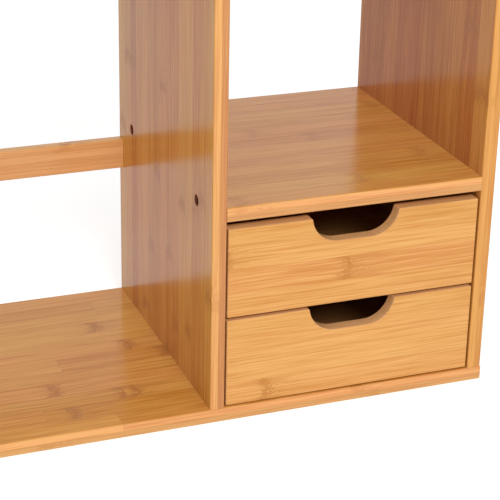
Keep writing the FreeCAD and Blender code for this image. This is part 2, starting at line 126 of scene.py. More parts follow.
def make_room():
    world = bpy.data.worlds.new("white_room")
    world.use_nodes = True
    tree = world.node_tree
    tree.nodes.clear()
    output = tree.nodes.new("ShaderNodeOutputWorld")
    glow = tree.nodes.new("ShaderNodeBackground")
    glow.inputs["Color"].default_value = WHITE
    glow_by_ray(tree, "Is Diffuse Ray", ROOM_LIGHT, 1.0, glow.inputs["Strength"])
    tree.links.new(glow.outputs["Background"], output.inputs["Surface"])
    bpy.context.scene.world = world
    bpy.context.scene.view_settings.view_transform = "Standard"


def make_lamp(name, place, aim, size, power):
    data = bpy.data.lights.new(name, "AREA")
    data.shape = "DISK"
    data.size = size
    data.energy = power
    lamp = add_object(name, data)
    lamp.location = place
    lamp.rotation_euler = (Vector(aim) - Vector(place)).to_track_quat("-Z", "Y").to_euler()
    lamp.visible_camera = False
    lamp.visible_glossy = False


def new_material(name):
    """A material, its node tree and its Principled shader."""
    material = bpy.data.materials.new(name)
    material.use_nodes = True
    return material, material.node_tree, material.node_tree.nodes["Principled BSDF"]


def make_floor():
    half = FLOOR_WIDTH / 2
    mesh = bpy.data.meshes.new("floor")
    corners = [(-half, -half, 0), (half, -half, 0), (half, half, 0), (-half, half, 0)]
    mesh.from_pydata(corners, [], [(0, 1, 2, 3)])
    floor = add_object("floor", mesh)
    floor.location.z = -FLOOR_DROP
    paint, tree, shader = new_material("white_floor")
    shader.inputs["Base Color"].default_value = (FLOOR_TONE, FLOOR_TONE, FLOOR_TONE, 1)
    shader.inputs["Roughness"].default_value = FLOOR_ROUGHNESS
    shader.inputs["Emission Color"].default_value = WHITE
    glow_by_ray(tree, "Is Camera Ray", FLOOR_GLOW, FLOOR_LIGHT, shader.inputs["Emission Strength"])
    mesh.materials.append(paint)


make_room()
make_floor()
make_lamp("front_lamp", **LAMP)

# %% [markdown]
# ## Shader helpers
# Procedural materials are small sums on the position of a point. Most of these helpers add one
# node and return its result, so that the sums below read almost like formulas. Every finish is a
# node group that puts out a colour, a roughness and a height, so one function can begin such a
# group, one can end it, and one can make a material that lays it on a piece.

# %% Shader helpers
def feed(tree, socket, value):
    """Give a socket a value, or link it to the socket that the value comes from."""
    if isinstance(value, bpy.types.NodeSocket):
        tree.links.new(value, socket)
    else:
        socket.default_value = value


def add_node(tree, kind, inputs=None, **settings):
    """Add a node, set its properties, then feed its inputs."""
    node = tree.nodes.new(kind)
    for name, value in settings.items():
        setattr(node, name, value)
    for name, value in (inputs or {}).items():
        feed(tree, node.inputs[name], value)
    return node


def calc(tree, operation, *values):
    """A Math node's result."""
    return add_node(tree, "ShaderNodeMath", dict(enumerate(values)), operation=operation).outputs[0]


def plus(tree, first, second):
    return calc(tree, "ADD", first, second)


def minus(tree, first, second):
    return calc(tree, "SUBTRACT", first, second)


def times(tree, first, second):
    return calc(tree, "MULTIPLY", first, second)


def over(tree, first, second):
    return calc(tree, "DIVIDE", first, second)


def times_plus(tree, first, second, third):
    return calc(tree, "MULTIPLY_ADD", first, second, third)


def vector_calc(tree, operation, *values):
    """A Vector Math node's vector result."""
    node = add_node(tree, "ShaderNodeVectorMath", dict(enumerate(values)), operation=operation)
    return node.outputs["Vector"]


def join(tree, x, y, z):
    return add_node(tree, "ShaderNodeCombineXYZ", {"X": x, "Y": y, "Z": z}).outputs[0]


def fade(tree, value, low, high, out_low=0.0, out_high=1.0):
    """A smooth step from one value to another."""
    node = add_node(tree, "ShaderNodeMapRange", interpolation_type="SMOOTHSTEP",
                    inputs={"Value": value, "From Min": low, "From Max": high,
                            "To Min": out_low, "To Max": out_high})
    return node.outputs["Result"]


def blend_colour(tree, factor, first, second):
    """A Mix node's colour, whose factor and colours are its inputs 0, 6 and 7."""
    return add_node(tree, "ShaderNodeMix", {0: factor, 6: first, 7: second},
                    data_type="RGBA").outputs[2]


def stretched_noise(tree, place, stretch, detail):
    """Noise of a point, with a different number of turns per metre along each axis."""
    return add_node(tree, "ShaderNodeTexNoise",
                    {"Vector": vector_calc(tree, "MULTIPLY", place, stretch),
                     "Scale": 1.0, "Detail": detail, "Roughness": 0.6}).outputs["Fac"]


# %% Finish helpers
def group_with(name, inputs):
    """An empty shader group for a finish. Each of its inputs is a name, a kind and a value."""
    group = bpy.data.node_groups.new(name, "ShaderNodeTree")
    for label, kind, value in inputs:
        socket = group.interface.new_socket(label, in_out="INPUT", socket_type="NodeSocket" + kind)
        if value is not None:
            socket.default_value = value
    for label, kind in (("Colour", "Color"), ("Roughness", "Float"), ("Height", "Float")):
        group.interface.new_socket(label, in_out="OUTPUT", socket_type="NodeSocket" + kind)
    return group, group.nodes.new("NodeGroupInput").outputs


def end_group(group, colour, roughness, height):
    result = group.nodes.new("NodeGroupOutput")
    for socket, value in zip(result.inputs, (colour, roughness, height)):
        group.links.new(value, socket)


def material_from(group, name, turn=(0, 0, 0), start=(0, 0, 0), bump=0.3, bump_depth=0.05 * MM,
                  dullness=0.0):
    """A material with a group's pattern, begun at a start and turned, its shader and the group."""
    material, tree, shader = new_material(name)
    place = add_node(tree, "ShaderNodeTexCoord").outputs["Object"]
    from_start = vector_calc(tree, "SUBTRACT", place, tuple(start))
    laid = add_node(tree, "ShaderNodeMapping", {"Vector": from_start, "Rotation": turn},
                    vector_type="POINT").outputs["Vector"]
    pattern = add_node(tree, "ShaderNodeGroup", {"Place": laid}, node_tree=group)
    relief = add_node(tree, "ShaderNodeBump", {"Height": pattern.outputs["Height"],
                                               "Strength": bump, "Distance": bump_depth})
    tree.links.new(pattern.outputs["Colour"], shader.inputs["Base Color"])
    tree.links.new(plus(tree, pattern.outputs["Roughness"], dullness), shader.inputs["Roughness"])
    tree.links.new(relief.outputs["Normal"], shader.inputs["Normal"])
    return material, shader, pattern


print("helpers ready")

# %% [markdown]
# ## Bamboo
# Bamboo board is made of planed strips about 20 mm wide, glued side by side and in two layers.
# Each strip has a tone of its own, fine fibres along its length and, every hand's width or two, a
# speckled knuckle where the cane had a node. A flat picture of this would not agree round the
# edges of a board, so the pattern is a solid one: each strip is a box in space, found by rounding
# down the position, and faces, edges and ends of a board all cut through the same strips.

# %% Bamboo: which strip a point is in
RUN_SCATTER = 7.0
RUNS_APART = 31.0


def find_strip(group, given, along, across, through):
    """The strip's dice, and how far through the strip, the run and the layer the point is."""
    lane_turns = over(group, across, given["Strip Width"])
    ply_turns = over(group, through, given["Ply"])
    lane = calc(group, "FLOOR", lane_turns)
    ply = calc(group, "FLOOR", ply_turns)
    lane_dice = add_node(group, "ShaderNodeTexWhiteNoise",
                         {"Vector": join(group, lane, ply, given["Seed"])}).outputs["Value"]
    scatter = times(group, lane_dice, RUN_SCATTER)
    run_turns = plus(group, over(group, along, given["Strip Length"]), scatter)
    own = times_plus(group, calc(group, "FLOOR", run_turns), RUNS_APART, lane)
    seed = plus(group, given["Seed"], 7.0)
    dice = add_node(group, "ShaderNodeTexWhiteNoise", {"Vector": join(group, own, ply, seed)})
    return dice.outputs["Color"], lane_turns, run_turns, ply_turns


def glue_line(group, turns, size, width):
    """One on the joint between two neighbours, fading to nothing within a width of it."""
    part = calc(group, "FRACT", turns)
    side = calc(group, "MINIMUM", part, minus(group, 1.0, part))
    return fade(group, times(group, side, size), width, 0.0)


# %% Bamboo: knuckles
KNUCKLE_SCATTER = 5.0
RAGGED = (90, 240, 240)
GRIT = (420, 820, 820)
ARCH = 20 * MM
STAIN_REACH = 45 * MM
SPECK_REACH = 11 * MM


def find_knuckle(group, given, place, along, lane_turns, offset):
    """Masks for a knuckle's one-sided stain, its specks and its ridge, and the bend round it."""
    turns = times_plus(group, offset, KNUCKLE_SCATTER,
                       over(group, along, given["Knuckle Spacing"]))
    from_middle = minus(group, calc(group, "FRACT", turns), 0.5)
    distance = times(group, from_middle, given["Knuckle Spacing"])
    ragged = minus(group, stretched_noise(group, place, RAGGED, 3.0), 0.5)
    distance = times_plus(group, ragged, 14 * MM, distance)
    across = minus(group, calc(group, "FRACT", lane_turns), 0.5)
    arc = times(group, times(group, across, across), ARCH)
    distance = plus(group, distance, arc)
    fan = calc(group, "MAXIMUM", distance, times(group, distance, -3.0))
    halo = fade(group, fan, STAIN_REACH, 0.0)
    near = fade(group, calc(group, "ABSOLUTE", distance), SPECK_REACH, 1 * MM)
    grit = stretched_noise(group, place, GRIT, 2.0)
    specks = fade(group, times_plus(group, near, 0.20, grit), 0.62, 0.72)
    specks = times(group, specks, fade(group, near, 0.0, 0.15))
    ridge = fade(group, calc(group, "ABSOLUTE", distance), 1.4 * MM, 0.4 * MM)
    return halo, specks, ridge, times(group, halo, ragged)


# %% Bamboo: the node group
BROAD_FIBRES = (2, 180, 180)
FINE_FIBRES = (16, 900, 900)
DARK_STREAKS = (7, 480, 480)
EDGE_TONE_AND_SHEEN_BLEND = 0.3
EDGE_CALM = 0.65
SWAY = 6 * MM


def make_bamboo_group():
    """Colour, roughness and height of laminated bamboo. X runs along the strips, Y across them."""
    sockets = [("Place", "Vector", None), ("Strip Width", "Float", 0.0208),
               ("Strip Length", "Float", 0.42), ("Ply", "Float", 0.0065), ("Seed", "Float", 1.0),
               ("Knuckle Spacing", "Float", 0.34), ("Tone Spread", "Float", 0.6),
               ("Knuckle Strength", "Float", 1.0), ("Pale", "Color", (0.755, 0.388, 0.126, 1)),
               ("Deep", "Color", (0.58, 0.234, 0.049, 1)),
               ("Stain", "Color", (0.45, 0.174, 0.030, 1)), ("Edge", "Float", 0.0),
               ("Edge Tone", "Color", (0.70, 0.320, 0.215, 1)), ("Layer Contrast", "Float", 0.0)]
    group, given = group_with("laminated_bamboo", sockets)
    place = given["Place"]
    along, across, through = add_node(group, "ShaderNodeSeparateXYZ", {"Vector": place}).outputs
    dice, lane_turns, run_turns, ply_turns = find_strip(group, given, along, across, through)
    tone, offset, hue = add_node(group, "ShaderNodeSeparateColor", {"Color": dice}).outputs
    halo, specks, ridge, bend = find_knuckle(group, given, place, along, lane_turns, offset)

    shift = vector_calc(group, "MULTIPLY", dice, (9.0, 3.0, 3.0))
    sway = times(group, bend, SWAY)
    bent = vector_calc(group, "ADD", vector_calc(group, "ADD", place, shift),
                       join(group, 0.0, sway, 0.0))
    broad = fade(group, stretched_noise(group, bent, BROAD_FIBRES, 3.0), 0.3, 0.7)
    fine = fade(group, stretched_noise(group, bent, FINE_FIBRES, 2.0), 0.32, 0.68)
    streak = fade(group, stretched_noise(group, bent, DARK_STREAKS, 2.0), 0.56, 0.72)
    fibre = times_plus(group, broad, 0.32, times(group, fine, 0.68))

    seam = calc(group, "MAXIMUM", glue_line(group, lane_turns, given["Strip Width"], 0.5 * MM),
                glue_line(group, run_turns, given["Strip Length"], 0.6 * MM))
    seam = calc(group, "MAXIMUM", seam, glue_line(group, ply_turns, given["Ply"], 0.4 * MM))

    own_tone = times(group, minus(group, tone, 0.5), given["Tone Spread"])
    depth = plus(group, times_plus(group, fibre, 0.8, 0.08), own_tone)
    wood = blend_colour(group, fade(group, depth, 0.0, 1.0), given["Pale"], given["Deep"])
    wood = add_node(group, "ShaderNodeHueSaturation",
                    {"Color": wood, "Hue": fade(group, hue, 0.0, 1.0, 0.4955, 0.5045),
                     "Saturation": 1.0, "Value": 1.0, "Fac": 1.0}).outputs["Color"]
    # Pale edge tone blended into the edge faces: partly sanded colour, partly painted sheen.
    wood = blend_colour(group, times(group, given["Edge"], EDGE_TONE_AND_SHEEN_BLEND), wood, given["Edge Tone"])
    layer = times(group, calc(group, "SIGN", through), given["Layer Contrast"])
    lift = times_plus(group, layer, given["Edge"], 1.0)
    wood = vector_calc(group, "MULTIPLY", wood, join(group, lift, lift, lift))
    marks = times(group, halo, times_plus(group, fibre, 0.32, 0.04))
    marks = calc(group, "MAXIMUM", marks, times(group, specks, 0.80))
    marks = calc(group, "MAXIMUM", marks, times(group, ridge, 0.45))
    strength = times_plus(group, given["Edge"], -EDGE_CALM, 1.0)
    marks = times(group, marks, strength)
    marks = times(group, marks, given["Knuckle Strength"])
    marks = times_plus(group, streak, 0.16, marks)
    marks = times_plus(group, seam, 0.28, marks)
    wood = blend_colour(group, marks, wood, given["Stain"])

    rough = times_plus(group, fibre, 0.05, times(group, specks, 0.10))
    height = times_plus(group, fibre, -0.4, times(group, seam, -1.0))
    end_group(group, wood, plus(group, rough, 0.16), minus(group, height, specks))
    return group


bamboo_group = make_bamboo_group()
print("bamboo group has", len(bamboo_group.nodes), "nodes")

# %% [markdown]
# ## One bamboo, laid in different directions and finished two ways
# Every board uses the same group with the strips turned to run along the board. A Mapping node
# does the turning, and each lay names the axis that goes through the board's thickness. The front
# and back edges are paler than the faces, partly the sanded edge's own tone and partly painted
# sheen, and show the two layers apart. The notch walls and other side faces of the drawer fronts
# are paler too, which is painted sheen. Faces that the buyer sees have a smooth lacquer, which is
# the Principled shader's own reflection. Inside the drawers the wood gets only a thin matt coat.

# %% Bamboo materials
FLAT_X = ((0, 0, 0), "z")
UPRIGHT_X = ((math.radians(-90), 0, 0), "y")
UPRIGHT_Z = ((0, math.radians(90), 0), "x")
UPRIGHT_Y = ((math.radians(-90), math.radians(-90), 0), "x")
GLOSSY = 0.0
MATT = 0.28
LACQUER_IOR = 1.36
FIRST_STRIP_IN = 0.6 * MM
UNJOINTED = 40.0


def facing_front(tree):
    """One where a face looks to the front or the back, falling to nothing as it turns away."""
    normal = add_node(tree, "ShaderNodeNewGeometry").outputs["Normal"]
    towards = add_node(tree, "ShaderNodeSeparateXYZ", {"Vector": normal}).outputs["Y"]
    return fade(tree, calc(tree, "ABSOLUTE", towards), 0.4, 0.95)


def bamboo(name, node, lay, seed, dullness=GLOSSY, sanded_and_sheen=None, **values):
    """A bamboo finish for a board. The two layers meet in the middle of its thickness.

    The paler faces, sanded tone with painted sheen, look either to the front and back or sideways.
    """
    turn, through = lay
    low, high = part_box(node)
    start = low - Vector.Fill(3, FIRST_STRIP_IN)
    setattr(start, through, (getattr(low, through) + getattr(high, through)) / 2)
    material, shader, wood = material_from(bamboo_group, name, turn, start, bump=0.25,
                                           bump_depth=0.1 * MM, dullness=dullness)
    tree = material.node_tree
    values["Seed"] = seed
    # The edge mask marks the faces that get the pale tone, which is sanded colour with painted
    # sheen.
    if sanded_and_sheen == "front":
        values["Edge"] = facing_front(tree)
    if sanded_and_sheen == "sides":
        values["Edge"] = minus(tree, 1.0, facing_front(tree))
    for key, value in values.items():
        feed(tree, wood.inputs[key.replace("_", " ")], value)
    shader.inputs["IOR"].default_value = LACQUER_IOR
    return material


# The walls of a drilled hole get a darker, duller bamboo than the board.
scorched = bamboo("scorched_bamboo", "base_board", FLAT_X, 90.0, MATT,
                  Pale=(0.36, 0.13, 0.055, 1), Deep=(0.17, 0.05, 0.022, 1),
                  Stain=(0.06, 0.02, 0.012, 1))
print("finishes", {"glossy": GLOSSY, "matt": MATT}, scorched.name)

# %% [markdown]
# ## Where the bolts, screws and dowels sit
# The maker drills every board on the same two lines, 38 mm in from the front and back for bolts
# and 90 mm in for dowels. Each fixing is a seat, which is the point under its head, and the way
# its head faces. One list serves twice: the boards are bored from it, and later it is filled.

# %% Fixing sizes and spots
def in_mm(**sizes):
    return {name: size * MM for name, size in sizes.items()}


BOLT = in_mm(bore=9, sunk=6, head_diameter=8.6, head_height=3, hole=5, shank_diameter=4.9,
             length=36, socket=4.6, pitch=1.9)
RAIL_SCREW = in_mm(bore=7, sunk=2.5, head_diameter=6.6, head_height=2, hole=3.5,
                   shank_diameter=3.4, length=32, socket=2.6, pitch=1.5)
SMALL_SCREW = in_mm(bore=6.2, sunk=2.5, head_diameter=5.8, head_height=2, hole=3,
                    shank_diameter=2.9, length=16, socket=2.6, pitch=1.3)
DOWEL = in_mm(hole=6, diameter=5.9, length=28)
SMALL_DOWEL = in_mm(hole=5, diameter=4.9, length=16)
END_ROOM = 0.5 * MM
BOLT_INSET = 38 * MM
DOWEL_INSET = 90 * MM
DOWEL_IN_FACE = 9 * MM
SMALL_DOWEL_IN_FACE = 7 * MM
RAIL_FIXING_INSET = 7 * MM
RUNNER_SCREW_INSET = 30 * MM
BOX_FIXING_LOW = 18 * MM
BOX_FIXING_HIGH = 14 * MM
UPRIGHTS = ("left_side_panel", "divider_panel", "right_side_panel")
DRAWERS = ("upper_drawer", "lower_drawer")
LEFT, RIGHT, UP, DOWN, BACK = ((-1, 0, 0), (1, 0, 0), (0, 0, 1), (0, 0, -1), (0, 1, 0))


def middle(node, axis):
    low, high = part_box(node)
    return (low[axis] + high[axis]) / 2


def lines(node, inset):
    """The two drilling lines of a board, in from its front and back edges."""
    low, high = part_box(node)
    return (low.y + inset, high.y - inset)


def at_uprights(inset, z, facing):
    return [((middle(name, 0), y, z), facing)
            for name in UPRIGHTS for y in lines("base_board", inset)]


def at_shelf(inset, x, facing):
    return [((x, y, middle("drawer_shelf", 2)), facing) for y in lines("drawer_shelf", inset)]


def inside_face(node, facing, depth):
    """How far along X a point is that lies a depth inside a board's left or right face."""
    low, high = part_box(node)
    return high.x - depth if facing == RIGHT else low.x + depth


def carcass_spots():
    base_low, base_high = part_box("base_board")
    top_low, top_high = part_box("top_board")
    sunk = BOLT["sunk"]
    start = DOWEL_IN_FACE - END_ROOM
    return {
        "base_bolts": (BOLT, at_uprights(BOLT_INSET, base_low.z + sunk, DOWN)),
        "top_bolts": (BOLT, at_uprights(BOLT_INSET, top_high.z - sunk, UP)),
        "base_dowels": (DOWEL, at_uprights(DOWEL_INSET, base_high.z - start, UP)),
        "top_dowels": (DOWEL, at_uprights(DOWEL_INSET, top_low.z + start, DOWN)),
        "shelf_bolts": (BOLT, [
            spot for name, facing in (("divider_panel", LEFT), ("right_side_panel", RIGHT))
            for spot in at_shelf(BOLT_INSET, inside_face(name, facing, sunk), facing)]),
        "shelf_dowels": (DOWEL, [
            spot for name, facing in (("divider_panel", RIGHT), ("right_side_panel", LEFT))
            for spot in at_shelf(DOWEL_INSET, inside_face(name, facing, start), facing)]),
    }


def rail_spots():
    low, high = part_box("back_rail")
    y = middle("back_rail", 1)
    start = SMALL_DOWEL_IN_FACE - END_ROOM
    return {
        "rail_screws": (RAIL_SCREW, [
            ((inside_face(name, facing, RAIL_SCREW["sunk"]), y, low.z + RAIL_FIXING_INSET), facing)
            for name, facing in (("left_side_panel", LEFT), ("divider_panel", RIGHT))]),
        "rail_dowels": (SMALL_DOWEL, [
            ((inside_face(name, facing, start), y, high.z - RAIL_FIXING_INSET), facing)
            for name, facing in (("left_side_panel", RIGHT), ("divider_panel", LEFT))]),
    }


def runner_spots():
    return {"runner_screws": (SMALL_SCREW, [
        ((inside_face(name, facing, SMALL_SCREW["sunk"]), y, middle(name, 2)), facing)
        for name, facing in (("upper_runner_left", RIGHT), ("upper_runner_right", LEFT))
        for y in lines(name, RUNNER_SCREW_INSET)])}


def drawer_spots(drawer):
    screws = []
    pegs = []
    peg_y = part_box(drawer + "_front")[1].y - SMALL_DOWEL_IN_FACE + END_ROOM
    for side, facing in (("_left_side", LEFT), ("_right_side", RIGHT)):
        low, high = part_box(drawer + side)
        x = inside_face(drawer + side, facing, SMALL_SCREW["sunk"])
        for z in (low.z + BOX_FIXING_LOW, high.z - BOX_FIXING_HIGH):
            screws.append(((x, middle(drawer + "_back", 1), z), facing))
            pegs.append(((middle(drawer + side, 0), peg_y, z), BACK))
    return {drawer + "_screws": (SMALL_SCREW, screws), drawer + "_dowels": (SMALL_DOWEL, pegs)}


fixings = {**carcass_spots(), **rail_spots(), **runner_spots()}
for drawer in DRAWERS:
    fixings.update(drawer_spots(drawer))
print({name: len(spots) for name, (kind, spots) in fixings.items()})

# %% [markdown]
# ## Turned cutters
# A drill leaves a turned shape: a wide counterbore with a broken rim, then a narrow hole. The
# cutter is that shape, made by spinning a profile, and a Boolean takes it out of the board.

# %% Turned shapes
RIM = 0.35 * MM
PAST_FACE = 1 * MM
TURN_STEPS = 32


def turned(mesh, profile, place, facing):
    """Add a closed turned solid to a bmesh. The profile is (radius, height) pairs, top first."""
    frame_turn = Vector(facing).to_track_quat("Z", "Y")
    rings = []
    for radius, height in profile:
        ring = []
        for step in range(TURN_STEPS):
            angle = 2 * math.pi * step / TURN_STEPS
            point = Vector((radius * math.cos(angle), radius * math.sin(angle), height))
            ring.append(mesh.verts.new(frame_turn @ point + Vector(place)))
        rings.append(ring)
    for upper, lower in zip(rings, rings[1:]):
        for step in range(TURN_STEPS):
            after = (step + 1) % TURN_STEPS
            mesh.faces.new((upper[step], lower[step], lower[after], upper[after]))
    mesh.faces.new(rings[0])
    mesh.faces.new(reversed(rings[-1]))


def bore_profile(kind):
    if "bore" in kind:
        mouth = kind["bore"] / 2 + RIM + PAST_FACE
        return [(mouth, kind["sunk"] + PAST_FACE), (kind["bore"] / 2, kind["sunk"] - RIM),
                (kind["bore"] / 2, 0), (kind["hole"] / 2, 0),
                (kind["hole"] / 2, -kind["length"] - END_ROOM)]
    return [(kind["hole"] / 2, kind["length"] + END_ROOM), (kind["hole"] / 2, -END_ROOM)]


def object_from(mesh, name):
    bmesh.ops.recalc_face_normals(mesh, faces=mesh.faces)
    data = bpy.data.meshes.new(name)
    mesh.to_mesh(data)
    mesh.free()
    return add_object(name, data)


def add_box(mesh, low, high):
    """Add a closed box to a bmesh and return its edges."""
    size = [b - a for a, b in zip(low, high)]
    centre = [(a + b) / 2 for a, b in zip(low, high)]
    made = bmesh.ops.create_cube(mesh, size=1.0)
    bmesh.ops.scale(mesh, vec=size, verts=made["verts"])
    bmesh.ops.translate(mesh, vec=centre, verts=made["verts"])
    return list({edge for vert in made["verts"] for edge in vert.link_edges})


print("bolt bore", [(round(r / MM, 2), round(h / MM, 2)) for r, h in bore_profile(BOLT)])

# %% [markdown]
# ## Boards
# A board leaves the sander with its long edges eased to about a millimetre, which is what draws
# the thin bright line along every edge. So each board is a box whose edges along the chosen axes
# are bevelled in four steps, then bored and grooved. Weighted normals keep the wide faces flat.

# %% Board maker
EASE = 1.2 * MM
SMALL_EASE = 0.6 * MM
EASE_STEPS = 4
SHARP_ANGLE = math.radians(38)
LARGEST_FACE = 100
body_of = {node: body for body, nodes in frame["record"]["behaviour"]["bodies"].items()
           for node in nodes}


def plain_mesh(piece):
    """Replace an object's mesh and modifiers by the finished result."""
    graph = bpy.context.evaluated_depsgraph_get()
    mesh = bpy.data.meshes.new_from_object(piece.evaluated_get(graph))
    piece.modifiers.clear()
    old = piece.data
    piece.data = mesh
    bpy.data.meshes.remove(old)


def smooth_edges(piece):
    for polygon in piece.data.polygons:
        polygon.use_smooth = True
    piece.data.set_sharp_from_angle(angle=SHARP_ANGLE)
    weighted = piece.modifiers.new("flat_faces", "WEIGHTED_NORMAL")
    weighted.keep_sharp = True
    weighted.weight = LARGEST_FACE
    plain_mesh(piece)


def carve(piece, cutters, wall=None):
    """Take a bmesh full of closed cutters out of a piece. The cut may get its own finish."""
    tool = object_from(cutters, "cutter")
    cut = piece.modifiers.new("carve", "BOOLEAN")
    cut.operation = "DIFFERENCE"
    cut.solver = "EXACT"
    if wall:
        tool.data.materials.append(wall)
        cut.material_mode = "TRANSFER"
    cut.object = tool
    bpy.context.view_layer.update()
    plain_mesh(piece)
    bpy.data.objects.remove(tool)


def stand_in(piece, node):
    """Smooth a piece that stands for a CAD node, hide the node and let the piece move with its
    body.
    """
    smooth_edges(piece)
    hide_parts(node)
    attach(piece, body_of[node])


def bore(piece, groups):
    cutters = bmesh.new()
    for group in groups:
        kind, spots = fixings[group]
        for place, facing in spots:
            turned(cutters, bore_profile(kind), place, facing)
    carve(piece, cutters, scorched)


def eased_board(node, axes, finish, ease=EASE):
    """A box the size of a CAD node, with its edges along the given axes eased."""
    low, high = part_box(node)
    mesh = bmesh.new()
    edges = add_box(mesh, low, high)

    def runs_along(edge):
        run = edge.verts[1].co - edge.verts[0].co
        return max("XYZ", key=lambda axis: abs(run["XYZ".index(axis)])) in axes

    bmesh.ops.bevel(mesh, geom=[edge for edge in edges if runs_along(edge)], offset=ease,
                    segments=EASE_STEPS, profile=0.5, affect="EDGES")
    board = object_from(mesh, node + "_wood")
    board.data.materials.append(finish)
    return board


print("bodies of", len(body_of), "nodes known")

# %% [markdown]
# ## The carcass
# The two long boards are eased on every edge, because their ends show. The uprights are eased
# only down their height and the shelf and rail only along their length, since their ends are
# glued against a neighbour and would show a gap. The dado for the thin back board is one cutter
# as wide as the column and both grooves, so the same box serves both walls.

# %% Carcass boards
GROOVE_SLACK = 0.3 * MM
END_FIXINGS = ["base_bolts", "top_bolts", "base_dowels", "top_dowels"]
COLUMN_FIXINGS = ["shelf_bolts", "shelf_dowels", "runner_screws"]
RAIL_FIXINGS = ["rail_screws", "rail_dowels"]
CARCASS = {
    "base_board": ("XYZ", ["base_bolts", "base_dowels"], FLAT_X),
    "top_board": ("XYZ", ["top_bolts", "top_dowels"], FLAT_X),
    "left_side_panel": ("Z", END_FIXINGS + RAIL_FIXINGS, UPRIGHT_Z),
    "divider_panel": ("Z", END_FIXINGS + RAIL_FIXINGS + COLUMN_FIXINGS, UPRIGHT_Z),
    "right_side_panel": ("Z", END_FIXINGS + COLUMN_FIXINGS, UPRIGHT_Z),
    "drawer_shelf": ("X", ["shelf_bolts", "shelf_dowels"], FLAT_X),
    "back_rail": ("X", RAIL_FIXINGS, UPRIGHT_X),
}
BOARD_TONE = dict(Pale=(0.765, 0.408, 0.098, 1), Deep=(0.54, 0.202, 0.023, 1),
                  Strip_Length=0.45, Tone_Spread=0.36, Knuckle_Spacing=0.28,
                  Knuckle_Strength=1.35, Layer_Contrast=0.10)
SHELF_TONE = {**BOARD_TONE, "Strip_Length": UNJOINTED, "Tone_Spread": 0.3, "Knuckle_Strength": 0.7}
UPRIGHT_TONE = dict(Pale=(0.72, 0.368, 0.078, 1), Deep=(0.51, 0.180, 0.019, 1),
                    Strip_Length=UNJOINTED, Tone_Spread=0.6, Knuckle_Spacing=0.4,
                    Knuckle_Strength=1.1, Layer_Contrast=0.07)
FINISH = {
    "base_board": dict(seed=1.0, **BOARD_TONE),
    "top_board": dict(seed=8.0, **BOARD_TONE),
    "left_side_panel": dict(seed=124.0, Strip_Width=0.017, **UPRIGHT_TONE),
    "divider_panel": dict(seed=121.0, Strip_Width=0.0165, **UPRIGHT_TONE),
    # The right side panel is darker and redder than the other uprights, partly its own tone and
    # partly painted shade; its pale edge tone is partly painted sheen.
    "right_side_panel": dict(seed=105.0, Pale=(0.68, 0.322, 0.074, 1), Deep=(0.45, 0.142, 0.020, 1),
                             Strip_Width=0.0245, Strip_Length=UNJOINTED, Tone_Spread=0.45,
                             Knuckle_Spacing=0.4, Edge_Tone=(0.76, 0.37, 0.120, 1)),
    "drawer_shelf": dict(seed=29.0, **SHELF_TONE),
    "back_rail": dict(seed=31.0, Strip_Width=0.0072, Strip_Length=UNJOINTED, Ply=0.02,
                      Tone_Spread=0.4, Pale=(0.84, 0.49, 0.180, 1), Deep=(0.68, 0.33, 0.085, 1)),
}


def panel_groove(panel, past_ends):
    """A cutter for the groove round a thin panel, run past it by a distance along each axis."""
    low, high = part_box(panel)
    cutters = bmesh.new()
    slack = Vector(past_ends)
    add_box(cutters, low - slack, high + slack)
    return cutters


for node, (axes, groups, lay) in CARCASS.items():
    finish = bamboo("bamboo_" + node, node, lay, sanded_and_sheen="front", **FINISH[node])
    board = eased_board(node, axes, finish)
    bore(board, groups)
    if node in ("divider_panel", "right_side_panel"):
        carve(board, panel_groove("drawer_bay_back", (GROOVE_SLACK, 0, 0)))
    stand_in(board, node)
    print(node, len(board.data.polygons), "faces")

# %% [markdown]
# ## Thin board and runners behind the drawers
# Out of sight behind the drawers are a thin board in the grooves and two square strips that the
# upper drawer slides on. They are rough, pale bamboo with barely broken edges.

# %% Bay back and runners
THIN_EASE = 0.3 * MM
thin_back = eased_board("drawer_bay_back", "XYZ",
                        bamboo("bamboo_bay_back", "drawer_bay_back", UPRIGHT_X, 41.0, MATT,
                               Ply=0.004, Tone_Spread=0.4), THIN_EASE)
stand_in(thin_back, "drawer_bay_back")

for seed, node in enumerate(("upper_runner_left", "upper_runner_right"), start=44):
    finish = bamboo("bamboo_" + node, node, UPRIGHT_Y, float(seed), MATT, Strip_Width=0.02,
                    Ply=0.02)
    strip = eased_board(node, "XYZ", finish, SMALL_EASE)
    bore(strip, ["runner_screws"])
    stand_in(strip, node)
    print(node, len(strip.data.polygons), "faces")

# %% [markdown]
# ## Geometry Nodes helpers
# What repeats or follows a rule is made by a node tree with named sizes. The tree is built here
# in code, its sizes are set on a modifier, and the result is turned into a plain mesh.

# %% Geometry Nodes helpers
WELD = 0.01 * MM


def rule_tree(name, sizes, others=()):
    """A geometry tree whose inputs are sizes, others by name and kind, and a material."""
    tree = bpy.data.node_groups.new(name, "GeometryNodeTree")
    tree.is_modifier = True
    tree.interface.new_socket("Geometry", in_out="INPUT", socket_type="NodeSocketGeometry")
    for label, kind in [*((size, "Float") for size in sizes), *others, ("Material", "Material")]:
        tree.interface.new_socket(label, in_out="INPUT", socket_type="NodeSocket" + kind)
    tree.interface.new_socket("Geometry", in_out="OUTPUT", socket_type="NodeSocketGeometry")
    return tree, tree.nodes.new("NodeGroupInput").outputs


def shape(tree, kind, inputs=None, **settings):
    """A geometry node's first output. The node is named without its GeometryNode prefix."""
    return add_node(tree, "GeometryNode" + kind, inputs, **settings).outputs[0]


def end_tree(tree, geometry, material):
    """Every tree ends in Realize Instances and Set Material."""
    real = shape(tree, "RealizeInstances", {"Geometry": geometry})
    dressed = shape(tree, "SetMaterial", {"Geometry": real, "Material": material})
    tree.links.new(dressed, tree.nodes.new("NodeGroupOutput").inputs[0])


